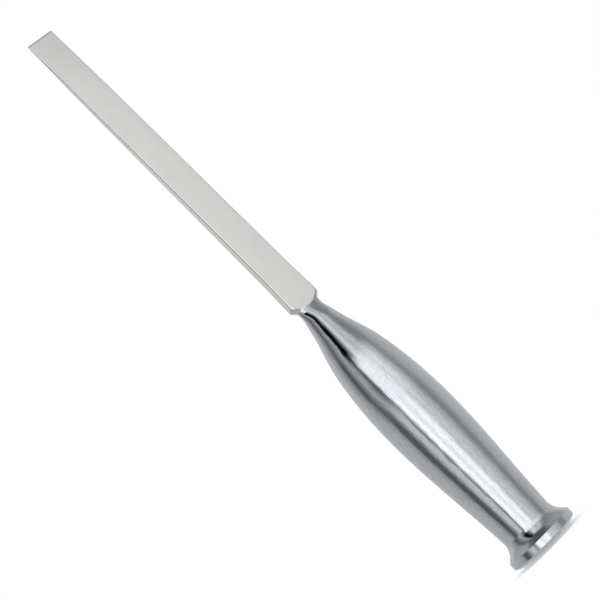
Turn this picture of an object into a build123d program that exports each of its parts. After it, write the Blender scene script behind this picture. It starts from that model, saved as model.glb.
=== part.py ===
from build123d import *
import math
import os

# Osteotome: a double-bevelled bone chisel, forged and turned from one bar of stainless steel.
# The origin is the centre of the striking face. +Z runs along the axis to the cutting edge,
# X is the width of the blade and Y is its thickness. Units are millimetres.

# Overall
overall_length = 220.0
grip_length = 102.0  # striking face to the shoulder where the blade starts
blade_length = overall_length - grip_length

# Striking head: flat striking face, rounded end, plain rim and a flare that narrows to the grip
striking_face_radius = 6.6
end_rounding_radius = 7.8
head_radius = 12.0
rim_top_height = 4.1
rim_edge_bevel = 0.25
flare_angle = 46.8  # slope of the flare above the rim, from the axis
waist_radius = 8.8
flare_hollow_radius = 3.6  # hollow where the flare runs into the waist of the grip

# Hand grip, a turned swell that tapers to a slim neck: radius and height of each place
waist_slope = 0.05
lower_grip = (10.2, 27.5)
swell = (11.47, 54.0)
upper_grip = (10.05, 73.6)
taper = (8.2, 82.8)
thin_taper = (5.6, 91.6)
neck_radius = 4.04
neck_height = 99.0

# Two flats that take the round neck down to the faces of the blade, seen from the side
flat_slope = 22.0  # degrees from the axis
flat_hollow_radius = 8.0  # soft hollow between each sloping flat and the blade
flat_end_height = 101.8  # from here up the neck is flush with the faces of the blade

# Blade
edge_width = 9.7
width_near_shoulder = 10.15
shoulder_width = 11.0
shoulder_flare_length = 16.0
long_edge_rounding = 0.38
shoulder_edge_rounding = 1.5  # the long edges soften over their last stretch before the shoulder
softened_edge_length = 2.5
shoulder_corner_radius = 0.7
shoulder_hollow_radius = 0.7  # hollow between the shoulder and each side of the neck

# Thickness of the blade, each at its distance back from the cutting edge: a slim bevel on
# both faces, which runs without a crease into a long gentle wedge
edge_thickness = 0.04
honed_length, honed_thickness = 0.45, 0.34
bevel_and_wedge = [(6, 1.00), (13, 1.75), (25, 2.40), (48, 2.90), (80, 3.25), (104, 3.57)]
shoulder_thickness = 3.85
blade_stations = 16  # sections along the blade, closest together at its two ends


def blade_width(distance):
    """Width of the blade, slowly growing from the cutting edge to the shoulder flare."""
    flare_start = blade_length - shoulder_flare_length
    growth = width_near_shoulder - edge_width
    width = edge_width + growth * min(distance / flare_start, 1)
    if distance > flare_start:
        share = (distance - flare_start) / shoulder_flare_length
        width += (shoulder_width - width_near_shoulder) * share**2
    return width


def blade_section(distance, thickness):
    """Rounded rectangle across the blade, its corners sharp at the edge and soft at the shoulder."""
    corner = min(long_edge_rounding, 0.3 * thickness)
    softening = max(1 - (blade_length - distance) / softened_edge_length, 0)
    corner += (shoulder_edge_rounding - corner) * softening**2
    plane = Plane.XY.offset(overall_length - distance)
    return plane * RectangleRounded(blade_width(distance), thickness, corner)


def shoulder_corner_waste():
    """The two corners that are rounded off the shoulder, seen from the front."""
    size = 2 * shoulder_corner_radius
    corner = Pos(shoulder_width / 2, grip_length) * Rectangle(size, size)
    centre = Pos(shoulder_width / 2 - shoulder_corner_radius, grip_length + shoulder_corner_radius)
    keep = centre * (Circle(shoulder_corner_radius) + Pos(-size, 0) * Rectangle(2 * size, size))
    waste = extrude(Plane.XZ * (corner - keep), shoulder_thickness, both=True)
    return waste + mirror(waste, Plane.YZ)


def make_blade():
    """Long bevelled blade with its honed cutting edge and rounded shoulder corners."""
    honed = (honed_length, honed_thickness)
    thickness_curve = Spline(honed, *bevel_and_wedge, (blade_length, shoulder_thickness))
    shares = [(1 - math.cos(math.pi * i / blade_stations)) / 2 for i in range(blade_stations + 1)]
    stations = [thickness_curve @ share for share in shares]
    body = loft([blade_section(station.X, station.Y) for station in stations], ruled=True)
    edge = loft([blade_section(*honed), blade_section(0, edge_thickness)], ruled=True)
    return body - shoulder_corner_waste() + edge


def turned_outline():
    """Half outline of the head, grip and neck, from the striking face to the shoulder."""
    rise = math.sqrt(end_rounding_radius**2 - (head_radius - striking_face_radius) ** 2)
    face_edge = (striking_face_radius, 0)
    rim_bottom = (head_radius, end_rounding_radius - rise)
    rim_top = (head_radius, rim_top_height)
    flare_height = (head_radius - waist_radius) / math.tan(math.radians(flare_angle))
    waist = (waist_radius, rim_top_height + flare_height)
    neck_bottom = (neck_radius, neck_height)
    neck_top = (neck_radius, grip_length - shoulder_hollow_radius)
    shoulder = (neck_radius + shoulder_hollow_radius, grip_length)
    outline = Polyline((0, grip_length), (0, 0), face_edge)
    outline += RadiusArc(face_edge, rim_bottom, -end_rounding_radius)
    outline += Polyline(rim_bottom, rim_top, waist)
    start, direction = waist, (waist_slope, 1)
    for end in (lower_grip, swell, upper_grip, taper):
        arc = TangentArc(start, end, tangent=direction)
        outline += arc
        start, direction = end, arc % 1
    outline += Spline(start, thin_taper, neck_bottom, tangents=[direction, (0, 1)])
    outline += Line(neck_bottom, neck_top)
    outline += RadiusArc(neck_top, shoulder, shoulder_hollow_radius)
    outline += Line(shoulder, (0, grip_length))
    face = make_face(outline)
    waist_corner = face.vertices().sort_by_distance(waist)[0]
    face = fillet(waist_corner, flare_hollow_radius)
    rim_corners = face.vertices().filter_by(lambda corner: abs(corner.X - head_radius) < 0.01)
    return chamfer(rim_corners, rim_edge_bevel)


def neck_side():
    """What the neck keeps, seen from the side: everything between the two sloping flats."""
    slope = math.radians(flat_slope)
    half = shoulder_thickness / 2
    hollow_top = (half, flat_end_height)
    hollow_foot = (
        half + flat_hollow_radius * (1 - math.cos(slope)),
        flat_end_height - flat_hollow_radius * math.sin(slope),
    )
    run = (head_radius - half) / math.tan(slope)
    clear = (hollow_foot[0] + run * math.tan(slope), hollow_foot[1] - run)
    outline = Line((half, grip_length), hollow_top)
    outline += RadiusArc(hollow_top, hollow_foot, -flat_hollow_radius)
    outline += Polyline(hollow_foot, clear, (clear[0], 0), (0, 0), (0, grip_length), (half, grip_length))
    right = make_face(outline)
    return right + mirror(right, Plane.YZ)


def make_grip():
    """Turned head, grip and neck, with the neck flattened down to the faces of the blade."""
    turned = revolve(Plane.XZ * turned_outline(), Axis.Z)
    return turned & extrude(Plane.YZ * neck_side(), 2 * head_radius, both=True)


osteotome = make_grip() + make_blade()

os.makedirs("parts", exist_ok=True)
export_step(osteotome, "parts/osteotome.step")
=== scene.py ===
import math
from functools import partial

import bpy
import numpy as np
from mathutils import Matrix, Vector


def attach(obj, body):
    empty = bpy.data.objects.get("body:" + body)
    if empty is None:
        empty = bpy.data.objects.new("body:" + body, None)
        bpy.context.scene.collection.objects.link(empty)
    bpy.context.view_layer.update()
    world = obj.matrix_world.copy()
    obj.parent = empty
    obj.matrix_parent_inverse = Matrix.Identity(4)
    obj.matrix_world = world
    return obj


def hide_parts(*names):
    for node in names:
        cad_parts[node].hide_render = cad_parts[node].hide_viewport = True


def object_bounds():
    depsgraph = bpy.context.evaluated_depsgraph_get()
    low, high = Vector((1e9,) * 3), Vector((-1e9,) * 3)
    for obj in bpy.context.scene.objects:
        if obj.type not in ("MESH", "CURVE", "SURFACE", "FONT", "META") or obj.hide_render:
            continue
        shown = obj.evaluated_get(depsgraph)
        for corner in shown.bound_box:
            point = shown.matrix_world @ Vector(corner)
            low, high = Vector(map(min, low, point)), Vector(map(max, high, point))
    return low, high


bl_info = {
    "name": "Osteotome",
    "version": (1, 0, 0),
    "blender": (4, 5, 0),
    "location": "3D View > Sidebar > Osteotome",
    "description": "Builds a one-piece steel osteotome and the plain studio that shows it",
    "category": "Object",
}

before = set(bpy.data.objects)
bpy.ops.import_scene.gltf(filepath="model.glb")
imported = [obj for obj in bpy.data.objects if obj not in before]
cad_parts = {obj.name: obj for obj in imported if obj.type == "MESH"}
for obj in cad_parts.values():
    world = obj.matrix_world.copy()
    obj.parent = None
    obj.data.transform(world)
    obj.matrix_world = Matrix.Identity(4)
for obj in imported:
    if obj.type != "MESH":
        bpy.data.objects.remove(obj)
CAD_LOW, CAD_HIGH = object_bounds()
MM = 0.001

# Turned grip between the waist and the slim neck: height and radius, in millimetres
GRIP_SWELL = ((27.5, 10.2), (54, 11.47), (73.6, 10.05), (82.8, 8.2), (91.6, 5.55), (95.3, 4.68))

# Bevel and wedge of the blade: distance back from the cutting edge and thickness, in millimetres
BEVEL_AND_WEDGE = ((0.45, 0.34), (6, 1.00), (13, 1.75), (25, 2.40), (48, 2.90), (80, 3.25), (104, 3.57))


class SteelForm(bpy.types.PropertyGroup):
    """Sizes of the osteotome. Heights are measured along its axis from the striking face."""

    striking_face: bpy.props.FloatProperty(
        name="Striking face", description="Radius of the flat in the middle of the rounded end",
        default=5.3 * MM, subtype="DISTANCE")
    end_rounding: bpy.props.FloatProperty(
        name="End rounding", description="Radius from the striking face round to the rim",
        default=13.0 * MM, subtype="DISTANCE")
    head_radius: bpy.props.FloatProperty(
        name="Head radius", description="Radius of the rim of the striking head",
        default=11.98 * MM, subtype="DISTANCE")
    rim_top: bpy.props.FloatProperty(
        name="Rim top", description="Height where the plain rim ends",
        default=4.15 * MM, subtype="DISTANCE")
    rim_edges: bpy.props.FloatProperty(
        name="Rim edges", description="Radius of the rim's two edges",
        default=0.16 * MM, subtype="DISTANCE")
    flare_angle: bpy.props.FloatProperty(
        name="Flare angle", description="Slope of the flare above the rim, from the axis",
        default=math.radians(46.8), subtype="ANGLE")
    waist: bpy.props.FloatProperty(
        name="Waist", description="Radius where the flare meets the grip",
        default=8.8 * MM, subtype="DISTANCE")
    waist_slope: bpy.props.FloatProperty(
        name="Waist slope", description="How fast the grip widens above the waist",
        default=0.05)
    flare_hollow: bpy.props.FloatProperty(
        name="Flare hollow", description="Radius of the hollow between the flare and the grip",
        default=5.5 * MM, subtype="DISTANCE")
    neck_radius: bpy.props.FloatProperty(
        name="Neck radius", description="Half width of the neck under the shoulder",
        default=4.13 * MM, subtype="DISTANCE")
    neck_height: bpy.props.FloatProperty(
        name="Neck height", description="Height of the slimmest place of the neck",
        default=98.6 * MM, subtype="DISTANCE")
    flat_slope: bpy.props.FloatProperty(
        name="Flat slope", description="Slope of the two flats of the neck, from the axis",
        default=math.radians(28), subtype="ANGLE")
    flat_hollow: bpy.props.FloatProperty(
        name="Flat hollow", description="Radius of the soft hollow between a flat and the blade",
        default=2.2 * MM, subtype="DISTANCE")
    flat_end: bpy.props.FloatProperty(
        name="Flat end", description="Height from which the neck is flush with the faces of the blade",
        default=101.0 * MM, subtype="DISTANCE")
    grip_length: bpy.props.FloatProperty(
        name="Grip length", description="Striking face to shoulder",
        default=102 * MM, subtype="DISTANCE")
    tongue_length: bpy.props.FloatProperty(
        name="Tongue length", description="How far the flat face of the blade runs down onto the round neck",
        default=2.8 * MM, subtype="DISTANCE")
    shoulder_slope: bpy.props.FloatProperty(
        name="Shoulder slope", description="Length over which the neck widens to the blade",
        default=1.95 * MM, subtype="DISTANCE")
    shoulder_edges: bpy.props.FloatProperty(
        name="Shoulder edges", description="Radius of the long edges where they reach the shoulder",
        default=1.1 * MM, subtype="DISTANCE")
    softened_edges: bpy.props.FloatProperty(
        name="Softened length", description="Length over which the long edges soften towards the shoulder",
        default=2.2 * MM, subtype="DISTANCE")
    edge_width: bpy.props.FloatProperty(
        name="Edge width", description="Width of the cutting edge",
        default=9.7 * MM, subtype="DISTANCE")
    near_shoulder_width: bpy.props.FloatProperty(
        name="Width near shoulder", description="Width of the blade before its last flare",
        default=10.15 * MM, subtype="DISTANCE")
    shoulder_width: bpy.props.FloatProperty(
        name="Shoulder width", description="Width of the blade at its shoulder",
        default=11.0 * MM, subtype="DISTANCE")
    shoulder_thickness: bpy.props.FloatProperty(
        name="Shoulder thickness", description="Thickness of the blade at its shoulder",
        default=3.85 * MM, subtype="DISTANCE")
    shoulder_flare: bpy.props.FloatProperty(
        name="Shoulder flare", description="Length of blade that flares towards the shoulder",
        default=16 * MM, subtype="DISTANCE")
    long_edges: bpy.props.FloatProperty(
        name="Long edges", description="Radius of the blade's long edges",
        default=0.38 * MM, subtype="DISTANCE")
    honed_length: bpy.props.FloatProperty(
        name="Honed length", description="Length of the honed cutting edge",
        default=0.45 * MM, subtype="DISTANCE")
    corner_points: bpy.props.IntProperty(
        name="Corner points", description="Points round each quarter of a section",
        default=25, min=4, max=40)


class SteelFinish(bpy.types.PropertyGroup):
    """Colours and polish of the steel."""

    satin_colour: bpy.props.StringProperty(
        name="Satin steel", description="sRGB hex colour of the satin blade", default="e8e7e5")
    polished_colour: bpy.props.StringProperty(
        name="Polished steel", description="sRGB hex colour of the polished grip", default="ced1d5")
    satin_roughness: bpy.props.FloatProperty(
        name="Satin roughness", description="Roughness of the satin blade", default=0.34, min=0, max=1)
    polished_roughness: bpy.props.FloatProperty(
        name="Polished roughness", description="Roughness of the polished grip", default=0.07, min=0, max=1)
    wave_depth: bpy.props.FloatProperty(
        name="Wave depth", description="Depth of the shallow waves that buffing leaves in the grip",
        default=0.05 * MM, subtype="DISTANCE")
    tongue_lean: bpy.props.FloatProperty(
        name="Tongue lean", description="How far the satin tongue leans to one side of the neck",
        default=0.4)
    speckle: bpy.props.FloatProperty(
        name="Speckle", description="How much the polished steel varies in shade",
        default=0.42, min=0, max=1)
    grain_depth: bpy.props.FloatProperty(
        name="Grain depth", description="Depth of the fine grain along the steel",
        default=0.006 * MM, subtype="DISTANCE")


class Studio(bpy.types.PropertyGroup):
    """Where the camera stands and how it looks at the osteotome."""

    azimuth: bpy.props.FloatProperty(
        name="Azimuth", description="Direction of the camera, from the front face of the blade",
        default=math.radians(-24), subtype="ANGLE")
    distance: bpy.props.FloatProperty(
        name="Distance", description="Camera to the axis of the osteotome",
        default=468.7 * MM, subtype="DISTANCE")
    height: bpy.props.FloatProperty(
        name="Height", description="Height of the camera over the striking face",
        default=35.4 * MM, subtype="DISTANCE")
    aim_height: bpy.props.FloatProperty(
        name="Aim height", description="Height that the camera looks at",
        default=103.42 * MM, subtype="DISTANCE")
    aim_side: bpy.props.FloatProperty(
        name="Aim side", description="How far beside the axis the camera looks",
        default=-0.33 * MM, subtype="DISTANCE")
    roll: bpy.props.FloatProperty(
        name="Roll", description="Turn of the camera about its view",
        default=math.radians(45.13), subtype="ANGLE")
    lens: bpy.props.FloatProperty(
        name="Lens", description="Focal length on a sensor 36 mm wide", default=94.12, unit="CAMERA")


def linear(code):
    """Turn an sRGB hex colour such as "c9c8c4" into linear RGBA."""
    channels = [int(code[i:i + 2], 16) / 255 for i in (0, 2, 4)]
    return [c / 12.92 if c <= 0.04045 else ((c + 0.055) / 1.055) ** 2.4 for c in channels] + [1.0]


def grey(level):
    """Neutral linear colour, where 1 is white."""
    return (level, level, level, 1.0)


def add_node(tree, kind, settings=None, links=None, **values):
    """Add a node: its settings, its fixed input values and the sockets that feed it."""
    node = tree.nodes.new(kind)
    for name, value in (settings or {}).items():
        setattr(node, name, value)
    for name, value in values.items():
        node.inputs[name.replace("_", " ")].default_value = value
    for name, source in (links or {}).items():
        tree.links.new(source, node.inputs[name])
    return node


def feed(tree, socket, value):
    """Give a socket its value, which is another node's socket or a plain value."""
    if isinstance(value, bpy.types.NodeSocket):
        tree.links.new(value, socket)
    else:
        socket.default_value = value


def add_maths(tree, operation, *terms):
    """Work out one step of arithmetic on sockets or plain numbers."""
    node = add_node(tree, "ShaderNodeMath", {"operation": operation})
    for socket, term in zip(node.inputs, terms):
        feed(tree, socket, term)
    return node.outputs[0]


def soft_step(tree, value, start, end, low=0.0, high=1.0):
    """Go smoothly from low to high while the value goes from start to end."""
    step = add_node(tree, "ShaderNodeMapRange", {"interpolation_type": "SMOOTHSTEP"}, {"Value": value},
                    From_Min=start, From_Max=end, To_Min=low, To_Max=high)
    return step.outputs["Result"]


def mix_colours(tree, share, first, second):
    """Go from the first colour to the second as the share goes from 0 to 1."""
    mix = add_node(tree, "ShaderNodeMix", {"data_type": "RGBA"}, {"Factor": share})
    colour_inputs = [socket for socket in mix.inputs if socket.type == "RGBA"]
    for socket, colour in zip(colour_inputs, (first, second)):
        feed(tree, socket, colour)
    return next(socket for socket in mix.outputs if socket.type == "RGBA")


def smooth_curve(points, start_slope, end_slope):
    """Cubic curve through points (x, y), with a given slope at each end."""
    x, y = np.array(points, float).T
    step = np.diff(x)
    rise = np.diff(y) / step
    system = np.zeros((len(x), len(x)))
    target = np.zeros(len(x))
    system[0, 0] = system[-1, -1] = 1
    target[0], target[-1] = start_slope, end_slope
    for i in range(1, len(x) - 1):
        system[i, i - 1:i + 2] = step[i], 2 * (step[i - 1] + step[i]), step[i - 1]
        target[i] = 3 * (step[i] * rise[i - 1] + step[i - 1] * rise[i])
    slope = np.linalg.solve(system, target)

    def value(at):
        i = int(np.clip(np.searchsorted(x, at) - 1, 0, len(step) - 1))
        t = (at - x[i]) / step[i]
        return ((1 + 2 * t) * (1 - t) ** 2 * y[i] + t * (1 - t) ** 2 * step[i] * slope[i]
                + t * t * (3 - 2 * t) * y[i + 1] + t * t * (t - 1) * step[i] * slope[i + 1])

    return value


def rounded_corner(before, corner, after, radius, steps=10):
    """Arc that rounds off a corner of an outline, as (radius, height) points."""
    before, corner, after = (Vector(point) for point in (before, corner, after))
    towards = (before - corner).normalized()
    away = (after - corner).normalized()
    half = towards.angle(away) / 2
    centre = corner + (towards + away).normalized() * (radius / math.sin(half))
    start = corner + towards * (radius / math.tan(half)) - centre
    end = corner + away * (radius / math.tan(half)) - centre
    turn = start.angle_signed(end)
    arc = []
    for i in range(steps + 1):
        angle = -turn * i / steps
        c, s = math.cos(angle), math.sin(angle)
        arc.append((centre.x + c * start.x - s * start.y, centre.y + s * start.x + c * start.y))
    return arc


def spaced(start, end, step):
    """Heights from start to end, evenly spaced by about the given step."""
    return np.linspace(start, end, max(2, round(abs(end - start) / step) + 1))


class Sections:
    """The rule of the form: a rounded rectangle at each height, round along the grip.

    A section is its height, half width, half thickness, and how far its corners reach across and deep.
    """

    neck_start = 88 * MM
    coarse_step, fine_step = 0.5 * MM, 0.1 * MM

    def __init__(self, sizes):
        self.sizes = sizes
        self.length = CAD_HIGH[2]
        self.blade_length = self.length - sizes.grip_length
        flare_height = (sizes.head_radius - sizes.waist) / math.tan(sizes.flare_angle)
        self.flare_end = sizes.rim_top + flare_height
        swell = [(height * MM, radius * MM) for height, radius in GRIP_SWELL]
        grip_points = [(self.flare_end, sizes.waist), *swell, (sizes.neck_height, sizes.neck_radius)]
        self.grip_curve = smooth_curve(grip_points, sizes.waist_slope, 0)
        wedge = [(distance * MM, thickness * MM) for distance, thickness in BEVEL_AND_WEDGE]
        wedge_end = (self.blade_length, sizes.shoulder_thickness)
        bevel_slope, shoulder_slope = 0.12, 0.02
        self.wedge = smooth_curve([*wedge, wedge_end], bevel_slope, shoulder_slope)
        self.shoulder_top = sizes.grip_length + 0.2 * MM
        self.tongue_tip = sizes.grip_length - sizes.tongue_length

    def grip_radius(self, height):
        """Radius of the turned grip, which stays the same above the slimmest place of the neck."""
        return self.grip_curve(min(height, self.sizes.neck_height))

    def head(self):
        """Striking face, rounded end, rim, flare and hollow, as (radius, height) points."""
        s = self.sizes
        turn = math.asin((s.head_radius - s.striking_face) / s.end_rounding)
        rings_on_face, steps_round_end = (0, 0.3, 0.6, 0.85), 14
        outline = [(share * s.striking_face, 0) for share in rings_on_face]
        for angle in np.linspace(0, turn, steps_round_end + 1)[:-1]:
            radius = s.striking_face + s.end_rounding * math.sin(angle)
            outline.append((radius, s.end_rounding * (1 - math.cos(angle))))
        rim_bottom = (s.head_radius, s.end_rounding * (1 - math.cos(turn)))
        along_end = (rim_bottom[0] - math.cos(turn) * MM, rim_bottom[1] - math.sin(turn) * MM)
        rim_top = (s.head_radius, s.rim_top)
        waist = (s.waist, self.flare_end)
        up_the_grip = 5 * MM
        above_waist = (s.waist + s.waist_slope * up_the_grip, self.flare_end + up_the_grip)
        outline += rounded_corner(along_end, rim_bottom, rim_top, s.rim_edges)
        outline += rounded_corner(rim_bottom, rim_top, waist, s.rim_edges)
        outline += rounded_corner(rim_top, waist, above_waist, s.flare_hollow, steps=24)
        return outline

    def neck_half_width(self, height):
        """Slim round neck that widens to the blade in a soft slope."""
        neck = self.grip_radius(height)
        blade = self.blade_half_width(self.length - height)
        rise = max(1 - (self.shoulder_top - height) / self.sizes.shoulder_slope, 0)
        return neck + (blade - neck) * rise**2 * (3 - 2 * rise)

    def neck_half_thickness(self, height):
        """Round until the sloping flat, which ends in a soft hollow, comes inside the round."""
        s = self.sizes
        below = max(s.flat_end - height, 0)
        in_hollow = min(below, s.flat_hollow * math.sin(s.flat_slope))
        flat = s.shoulder_thickness / 2 + s.flat_hollow - math.sqrt(s.flat_hollow**2 - in_hollow**2)
        flat += (below - in_hollow) * math.tan(s.flat_slope)
        # The smaller of the two, with a soft passage from one to the other
        blend = 0.12 * MM
        radius = self.grip_radius(height)
        return radius - blend * math.log1p(math.exp((radius - flat) / blend))

    def neck(self):
        """Sections of the neck: its flats grow out of the round as the tongue of each face."""
        fine_start = 97 * MM
        heights = list(spaced(self.neck_start, fine_start, self.coarse_step))
        heights += list(spaced(fine_start, self.shoulder_top, self.fine_step))[1:]
        edge = self.sizes.shoulder_edges
        sections = []
        for height in heights:
            half_width = self.neck_half_width(height)
            half_thickness = self.neck_half_thickness(height)
            share = max(height - self.tongue_tip, 0) / (self.shoulder_top - self.tongue_tip)
            across = half_width + (edge - half_width) * share
            deep = half_thickness + (edge - half_thickness) * share
            sections.append((height, half_width, half_thickness, across, deep))
        return sections

    def blade_half_width(self, distance):
        """Half width of the blade at a distance back from the cutting edge."""
        s = self.sizes
        flare_start = self.blade_length - s.shoulder_flare
        growth = s.near_shoulder_width - s.edge_width
        width = s.edge_width + growth * min(distance / flare_start, 1)
        if distance > flare_start:
            share = (distance - flare_start) / s.shoulder_flare
            width += (s.shoulder_width - s.near_shoulder_width) * share**2
        return width / 2

    def blade(self):
        """Sections of the blade, from the shoulder to the cutting edge."""
        s = self.sizes
        start, softened = self.length - self.shoulder_top, s.softened_edges
        bevel_start, bevel_step = 12 * MM, 0.25 * MM
        most_rounding = 0.6  # of half the thickness, where the blade is too thin for its full rounding
        distances = list(spaced(start, start - softened, self.fine_step))[1:]
        distances += list(spaced(start - softened, bevel_start, self.coarse_step))[1:]
        distances += list(spaced(bevel_start, s.honed_length, bevel_step))[1:]
        sections = []
        for distance in distances:
            half_width, half_thickness = self.blade_half_width(distance), self.wedge(distance) / 2
            corner = min(s.long_edges, most_rounding * half_thickness)
            share = max(1 - (start - distance) / softened, 0)
            corner += (s.shoulder_edges - corner) * share**2
            sections.append((self.length - distance, half_width, half_thickness, corner, corner))
        tip, edge = self.blade_half_width(0), 0.02 * MM
        sections.append((self.length - edge, tip, edge, edge / 2, edge / 2))
        sections.append((self.length, tip, 0, 0, 0))
        return sections

    def all(self):
        """Every section, from the striking face to the cutting edge."""
        head = self.head()
        heights = spaced(head[-1][1], self.neck_start, self.coarse_step)[1:-1]
        grip = [(self.grip_radius(height), height) for height in heights]
        turned = [(height, radius, radius, radius, radius) for radius, height in head + grip]
        return turned + self.neck() + self.blade()


def satin_share(tree, across, height, finish, sizes, rule):
    """1 on the blade and its pointed tongue, 0 on the polished neck, grip and head."""
    maths = partial(add_maths, tree)
    tongue_half_width = sizes.shoulder_width / 2 - sizes.shoulder_edges
    taper = (rule.shoulder_top - rule.tongue_tip) / tongue_half_width
    below_shoulder = maths("MINIMUM", maths("SUBTRACT", height, rule.shoulder_top), 0.0)
    leaning = maths("SUBTRACT", across, maths("MULTIPLY", below_shoulder, finish.tongue_lean))
    beside_tongue = maths("MULTIPLY", maths("ABSOLUTE", leaning), taper)
    up_tongue = maths("SUBTRACT", maths("SUBTRACT", height, rule.tongue_tip), beside_tongue)
    last_polished, first_satin = -0.3 * MM, 0.4 * MM
    return soft_step(tree, up_tongue, last_polished, first_satin)


def long_edge_share(tree, across, height, sizes, rule):
    """1 on the blade's narrow sides and the outer part of its long edges, 0 on its two faces.

    It leaves out the blade's last flare, so near the shoulder it also takes in the edge of each face.
    """
    maths = partial(add_maths, tree)
    length = rule.blade_length - sizes.shoulder_flare
    growth = (sizes.near_shoulder_width - sizes.edge_width) / 2 / length
    grown = maths("MULTIPLY", maths("SUBTRACT", rule.length, height), growth)
    beside_middle = maths("SUBTRACT", maths("ABSOLUTE", across), grown)
    side = sizes.edge_width / 2
    last_satin, first_buffed = side - 0.22 * MM, side - 0.14 * MM
    return soft_step(tree, beside_middle, last_satin, first_buffed)


def steel_material(finish, sizes, rule):
    """Stainless steel, polished round the grip and satin on the blade and its tongue."""
    # Stainless steel: buffed to a slightly wavy mirror on the grip, fine belt finish on the blade
    material = bpy.data.materials.new("polished_and_satin_stainless_steel")
    material.use_nodes = True
    tree = material.node_tree
    tree.nodes.clear()
    maths = partial(add_maths, tree)
    place = add_node(tree, "ShaderNodeTexCoord").outputs["Object"]
    split = add_node(tree, "ShaderNodeSeparateXYZ", links={"Vector": place})
    across, along = split.outputs["X"], split.outputs["Z"]

    def noise(size, streak, detail=2.0):
        """Cloudy pattern of the given size, drawn out along the steel by the streak factor."""
        stretch = add_node(tree, "ShaderNodeMapping", links={"Vector": place}, Scale=(1, 1, 1 / streak))
        return add_node(tree, "ShaderNodeTexNoise", links={"Vector": stretch.outputs["Vector"]},
                        Scale=1 / size, Detail=detail, Roughness=0.55).outputs["Fac"]

    def varied(pattern, amount):
        """The pattern, centred on 0 and scaled."""
        return maths("MULTIPLY", maths("SUBTRACT", pattern, 0.5), amount)

    satin = satin_share(tree, across, along, finish, sizes, rule)
    polished = maths("SUBTRACT", 1.0, satin)

    ripple_depth = 0.2 * finish.wave_depth
    grain = maths("MULTIPLY", noise(size=0.28 * MM, streak=12), finish.grain_depth)
    waves = maths("MULTIPLY", noise(size=2.2 * MM, streak=3), finish.wave_depth)
    ripple = maths("MULTIPLY", noise(size=0.8 * MM, streak=6), ripple_depth)
    relief = maths("ADD", grain, maths("MULTIPLY", maths("ADD", waves, ripple), polished))
    bump = add_node(tree, "ShaderNodeBump", links={"Height": relief}, Strength=1.0, Distance=1.0)

    tint = mix_colours(tree, satin, linear(finish.polished_colour), linear(finish.satin_colour))
    speckle_on_satin = 0.15
    speckle_share = maths("SUBTRACT", 1 + speckle_on_satin, satin)
    speckle = varied(noise(size=0.35 * MM, streak=5), finish.speckle)
    shade = maths("ADD", maths("MULTIPLY", speckle, speckle_share), 1.0)
    mottled = add_node(tree, "ShaderNodeVectorMath", {"operation": "SCALE"}, {"Scale": shade})
    tree.links.new(tint, mottled.inputs[0])

    buffed_edges = long_edge_share(tree, across, along, sizes, rule)
    matt = maths("MULTIPLY", satin, maths("SUBTRACT", 1.0, buffed_edges))
    polish = soft_step(tree, matt, 0.0, 1.0, finish.polished_roughness, finish.satin_roughness)
    clouds = varied(noise(size=5 * MM, streak=2, detail=3.0), amount=0.10)
    steel = add_node(tree, "ShaderNodeBsdfPrincipled", Metallic=1.0, links={
        "Base Color": mottled.outputs["Vector"],
        "Roughness": maths("ADD", polish, clouds),
        "Normal": bump.outputs["Normal"]})
    add_node(tree, "ShaderNodeOutputMaterial", links={"Surface": steel.outputs["BSDF"]})
    return material


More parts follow.
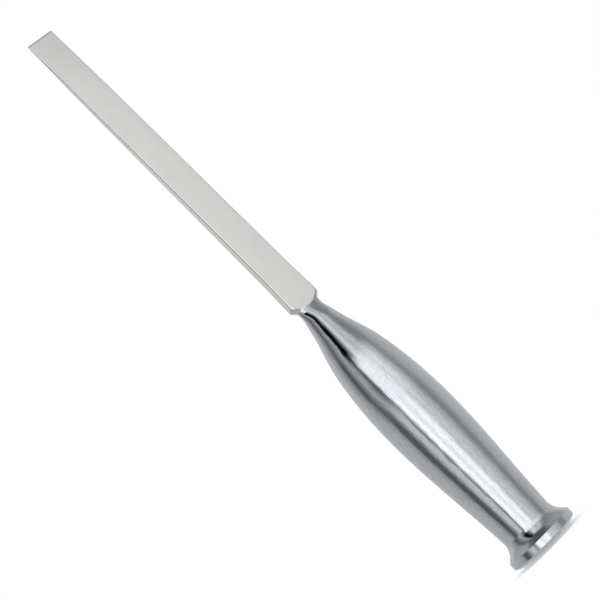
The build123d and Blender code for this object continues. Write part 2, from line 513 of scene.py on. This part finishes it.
def loft_tree(steel):
    """Node tree that lofts a skin through the sections kept on the points of a line."""
    tree = bpy.data.node_groups.new("Loft rounded sections", "GeometryNodeTree")
    face = tree.interface
    face.new_socket("Geometry", in_out="INPUT", socket_type="NodeSocketGeometry")
    corner_points = face.new_socket("Corner Points", in_out="INPUT", socket_type="NodeSocketInt")
    face.new_socket("Geometry", in_out="OUTPUT", socket_type="NodeSocketGeometry")
    given = add_node(tree, "NodeGroupInput")
    maths = partial(add_maths, tree)

    # A flat grid with one row of points for each section, counted as ring and step round it
    line = given.outputs["Geometry"]
    per_quarter = given.outputs["Corner Points"]
    around = maths("ADD", maths("MULTIPLY", per_quarter, 4), 1)
    count = add_node(tree, "GeometryNodeAttributeDomainSize", {"component": "MESH"}, {"Geometry": line})
    grid = add_node(tree, "GeometryNodeMeshGrid", links={
        "Vertices X": count.outputs["Point Count"], "Vertices Y": around})
    index = add_node(tree, "GeometryNodeInputIndex").outputs["Index"]
    ring = maths("FLOOR", maths("DIVIDE", maths("ADD", index, 0.5), around))
    step = maths("ROUND", maths("SUBTRACT", index, maths("MULTIPLY", ring, around)))

    def on_line(name):
        """A size of this ring's section, read from its point of the line."""
        stored = add_node(tree, "GeometryNodeInputNamedAttribute", {"data_type": "FLOAT"}, Name=name)
        sample = add_node(tree, "GeometryNodeSampleIndex", {"data_type": "FLOAT", "domain": "POINT"}, {
            "Geometry": line, "Value": stored.outputs["Attribute"], "Index": ring})
        return sample.outputs["Value"]

    # Each quarter of a ring is an arc about its own corner of the rounded rectangle
    height, half_width = on_line("height"), on_line("half_width")
    half_thickness = on_line("half_thickness")
    across, deep = on_line("corner_across"), on_line("corner_deep")
    quarter = maths("FLOOR", maths("DIVIDE", maths("ADD", step, 0.5), per_quarter))
    in_quarter = maths("SUBTRACT", step, maths("MULTIPLY", quarter, per_quarter))
    share = maths("DIVIDE", in_quarter, maths("SUBTRACT", per_quarter, 1))
    angle = maths("MULTIPLY", maths("ADD", quarter, share), math.pi / 2)
    diagonal = maths("MULTIPLY", maths("ADD", quarter, 0.5), math.pi / 2)
    side_x = maths("SIGN", maths("COSINE", diagonal))
    side_y = maths("SIGN", maths("SINE", diagonal))
    x = maths("ADD", maths("MULTIPLY", side_x, maths("SUBTRACT", half_width, across)),
              maths("MULTIPLY", across, maths("COSINE", angle)))
    y = maths("ADD", maths("MULTIPLY", side_y, maths("SUBTRACT", half_thickness, deep)),
              maths("MULTIPLY", deep, maths("SINE", angle)))
    point = add_node(tree, "ShaderNodeCombineXYZ", links={"X": x, "Y": y, "Z": height})
    skin = add_node(tree, "GeometryNodeSetPosition", links={
        "Geometry": grid.outputs["Mesh"], "Position": point.outputs["Vector"]})

    closed = add_node(tree, "GeometryNodeMergeByDistance", links={"Geometry": skin.outputs["Geometry"]},
                      Distance=0.0005 * MM)
    outward = add_node(tree, "GeometryNodeFlipFaces", links={"Mesh": closed.outputs["Geometry"]})
    smooth = add_node(tree, "GeometryNodeSetShadeSmooth", links={"Geometry": outward.outputs["Mesh"]})
    real = add_node(tree, "GeometryNodeRealizeInstances", links={"Geometry": smooth.outputs["Geometry"]})
    dressed = add_node(tree, "GeometryNodeSetMaterial", links={"Geometry": real.outputs["Geometry"]},
                       Material=steel)
    add_node(tree, "NodeGroupOutput", links={"Geometry": dressed.outputs["Geometry"]})
    return tree, corner_points.identifier


def section_line(rule):
    """Line with one point for each section, which carries the section's sizes."""
    sections = np.array(rule.all())
    points = [(0, 0, height) for height in sections[:, 0]]
    line = bpy.data.meshes.new("section_line")
    line.from_pydata(points, [(i, i + 1) for i in range(len(points) - 1)], [])
    names = ("height", "half_width", "half_thickness", "corner_across", "corner_deep")
    for column, name in enumerate(names):
        line.attributes.new(name, "FLOAT", "POINT").data.foreach_set("value", sections[:, column])
    return line


class OSTEOTOME_OT_body(bpy.types.Operator):
    """Loft the one-piece body of the osteotome and give it its two finishes"""

    bl_idname = "osteotome.body"
    bl_label = "Build the osteotome"

    def execute(self, context):
        sizes, finish = context.scene.osteotome_form, context.scene.osteotome_finish
        rule = Sections(sizes)
        piece = bpy.data.objects.new("osteotome_body", section_line(rule))
        context.scene.collection.objects.link(piece)
        tree, points_id = loft_tree(steel_material(finish, sizes, rule))
        loft = piece.modifiers.new("Loft", "NODES")
        loft.node_group = tree
        loft[points_id] = sizes.corner_points
        context.view_layer.update()
        made = bpy.data.meshes.new_from_object(piece.evaluated_get(context.evaluated_depsgraph_get()))
        piece.modifiers.clear()
        piece.data = made
        if not made.polygons:
            raise RuntimeError("the loft made no faces")
        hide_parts("osteotome")
        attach(piece, "root")
        return {"FINISHED"}


class OSTEOTOME_OT_stage(bpy.types.Operator):
    """Set up the floor, the studio surround that lights the osteotome, and the camera"""

    bl_idname = "osteotome.stage"
    bl_label = "Build the studio"

    # The room that the steel reflects. Each ring of walls gives the brightness round the compass,
    # in degrees from +X. Below the rings is the table, and above them the ceiling.
    table_level, ceiling_level = 0.58, 0.12
    low_walls = [
        (-180, 0.13), (-172, 0.14), (-167, 0.32), (-158, 0.72), (-150, 0.76), (-144, 0.68), (-141, 0.30),
        (-138, 0.30), (-135, 0.80), (-130, 1.50), (-121, 1.52), (-115, 1.20), (-110, 1.24), (-105, 1.46),
        (-96, 1.42), (-91, 1.15), (-86, 0.82), (-74, 0.85), (-54, 0.60), (-38, 0.31), (-28, 0.36),
        (-14, 0.54), (6, 0.62), (46, 0.66), (86, 0.62), (126, 0.58), (146, 0.56), (158, 0.50),
        (168, 0.38), (174, 0.15), (180, 0.13)]
    middle_walls = [
        (-180, 0.26), (-174, 0.38), (-166, 0.54), (-160, 0.46), (-154, 0.34), (-147, 0.14), (-141, 0.18),
        (-137, 0.95), (-132, 1.30), (-114, 1.34), (-94, 1.20), (-84, 1.00), (-74, 1.08), (-58, 0.76),
        (-38, 0.34), (-28, 0.42), (-14, 0.54), (6, 0.60), (60, 0.66), (120, 0.66), (140, 0.50),
        (150, 0.40), (157, 0.33), (163, 0.15), (172, 0.12), (180, 0.26)]
    high_walls = [
        (-180, 0.28), (-174, 0.38), (-168, 0.50), (-163, 0.48), (-158, 0.10), (-155, 0.00), (-138, 0.00),
        (-133, 0.14), (-124, 0.44), (-116, 0.95), (-106, 0.90), (-94, 0.66), (-84, 0.76), (-74, 0.72),
        (-54, 0.32), (-34, 0.29), (-10, 0.38), (20, 0.42), (90, 0.50), (130, 0.48), (146, 0.40),
        (166, 0.15), (180, 0.28)]

    # Elevations in degrees between which each ring, and then the ceiling, takes over from what is below
    low_rise, middle_rise, high_rise, ceiling_rise = (-34, -22), (3, 14), (22, 33), (64, 84)

    def execute(self, context):
        self.floor(context)
        self.surround(context)
        self.camera(context)
        context.scene.view_settings.view_transform = "Standard"
        return {"FINISHED"}

    def floor(self, context):
        """Pale paper that keeps a faint shadow and is white in the picture elsewhere."""
        half = 3.0
        corners = [(-half, -half, 0), (half, -half, 0), (half, half, 0), (-half, half, 0)]
        mesh = bpy.data.meshes.new("floor")
        mesh.from_pydata(corners, [], [(0, 1, 2, 3)])
        floor = bpy.data.objects.new("floor", mesh)
        context.scene.collection.objects.link(floor)
        floor.visible_glossy = False
        # White paper, matt, lifted to white where the camera sees it
        material = bpy.data.materials.new("white_paper")
        material.use_nodes = True
        tree = material.node_tree
        tree.nodes.clear()
        paper = add_node(tree, "ShaderNodeBsdfDiffuse", Color=linear("e6e6e6"))
        path = add_node(tree, "ShaderNodeLightPath")
        glow = add_node(tree, "ShaderNodeEmission", links={"Strength": path.outputs["Is Camera Ray"]},
                        Color=linear("9c9c9c"))
        both = add_node(tree, "ShaderNodeAddShader")
        for socket, shader in zip(both.inputs, (paper, glow)):
            tree.links.new(shader.outputs[0], socket)
        add_node(tree, "ShaderNodeOutputMaterial", links={"Surface": both.outputs[0]})
        mesh.materials.append(material)

    def surround(self, context):
        """White seen directly; in the steel, a room whose walls change with height."""
        world = bpy.data.worlds.new("studio_surround")
        world.use_nodes = True
        tree = world.node_tree
        tree.nodes.clear()
        place = add_node(tree, "ShaderNodeTexCoord")
        split = add_node(tree, "ShaderNodeSeparateXYZ", links={"Vector": place.outputs["Generated"]})
        angle = add_maths(tree, "ARCTAN2", split.outputs["Y"], split.outputs["X"])
        share = add_node(tree, "ShaderNodeMapRange", links={"Value": angle},
                         From_Min=-math.pi, From_Max=math.pi, To_Min=0.0, To_Max=1.0)

        def ring(walls):
            """Brightness of a ring of walls in the direction that is looked in."""
            ramp = add_node(tree, "ShaderNodeValToRGB", links={"Fac": share.outputs["Result"]})
            stops = ramp.color_ramp.elements
            stops.remove(stops[-1])
            for degrees, level in walls:
                stop = stops.new((degrees + 180) / 360) if degrees > -180 else stops[0]
                stop.color = grey(level)
            return ramp.outputs["Color"]

        def above(under, over, elevations):
            """Go from one ring to the next between two elevations in degrees."""
            start, end = (math.sin(math.radians(degrees)) for degrees in elevations)
            return mix_colours(tree, soft_step(tree, split.outputs["Z"], start, end), under, over)

        room = above(grey(self.table_level), ring(self.low_walls), self.low_rise)
        room = above(room, ring(self.middle_walls), self.middle_rise)
        room = above(room, ring(self.high_walls), self.high_rise)
        room = above(room, grey(self.ceiling_level), self.ceiling_rise)
        path = add_node(tree, "ShaderNodeLightPath")
        seen = mix_colours(tree, path.outputs["Is Glossy Ray"], grey(1.0), room)
        sky = add_node(tree, "ShaderNodeBackground", links={"Color": seen}, Strength=1.0)
        add_node(tree, "ShaderNodeOutputWorld", links={"Surface": sky.outputs[0]})
        context.scene.world = world

    def camera(self, context):
        """Camera beside the osteotome, rolled so that the blade points to the upper left."""
        studio = context.scene.osteotome_studio
        cosine, sine = math.cos(studio.azimuth), math.sin(studio.azimuth)
        place = Vector((studio.distance * sine, -studio.distance * cosine, studio.height))
        aim = Vector((cosine, sine, 0)) * studio.aim_side + Vector((0, 0, studio.aim_height))
        ahead = (aim - place).normalized()
        level = ahead.cross(Vector((0, 0, 1))).normalized()
        down = ahead.cross(level)
        roll_cosine, roll_sine = math.cos(studio.roll), math.sin(studio.roll)
        right = level * roll_cosine + down * roll_sine
        up = level * roll_sine - down * roll_cosine
        data = bpy.data.cameras.new("camera")
        data.lens = studio.lens
        data.sensor_width = 36
        data.clip_start = 0.01
        camera = bpy.data.objects.new("camera", data)
        camera.matrix_world = Matrix((right, up, -ahead)).transposed().to_4x4()
        camera.matrix_world.translation = place
        context.scene.collection.objects.link(camera)
        context.scene.camera = camera


class OSTEOTOME_PT_panel(bpy.types.Panel):
    """Sidebar panel that lists the sizes, the finishes and the two build steps"""

    bl_idname = "OSTEOTOME_PT_panel"
    bl_label = "Osteotome"
    bl_space_type = "VIEW_3D"
    bl_region_type = "UI"
    bl_category = "Osteotome"

    def draw(self, context):
        scene = context.scene
        for group in (scene.osteotome_form, scene.osteotome_finish, scene.osteotome_studio):
            box = self.layout.box()
            for name in group.__annotations__:
                box.prop(group, name)
        self.layout.operator(OSTEOTOME_OT_body.bl_idname)
        self.layout.operator(OSTEOTOME_OT_stage.bl_idname)


CLASSES = (SteelForm, SteelFinish, Studio, OSTEOTOME_OT_body, OSTEOTOME_OT_stage, OSTEOTOME_PT_panel)


def register():
    for item in CLASSES:
        bpy.utils.register_class(item)
    bpy.types.Scene.osteotome_form = bpy.props.PointerProperty(type=SteelForm)
    bpy.types.Scene.osteotome_finish = bpy.props.PointerProperty(type=SteelFinish)
    bpy.types.Scene.osteotome_studio = bpy.props.PointerProperty(type=Studio)


def unregister():
    del bpy.types.Scene.osteotome_form
    del bpy.types.Scene.osteotome_finish
    del bpy.types.Scene.osteotome_studio
    for item in reversed(CLASSES):
        bpy.utils.unregister_class(item)


def main():
    register()
    bpy.ops.osteotome.body()
    bpy.ops.osteotome.stage()


if __name__ == "__main__":
    main()
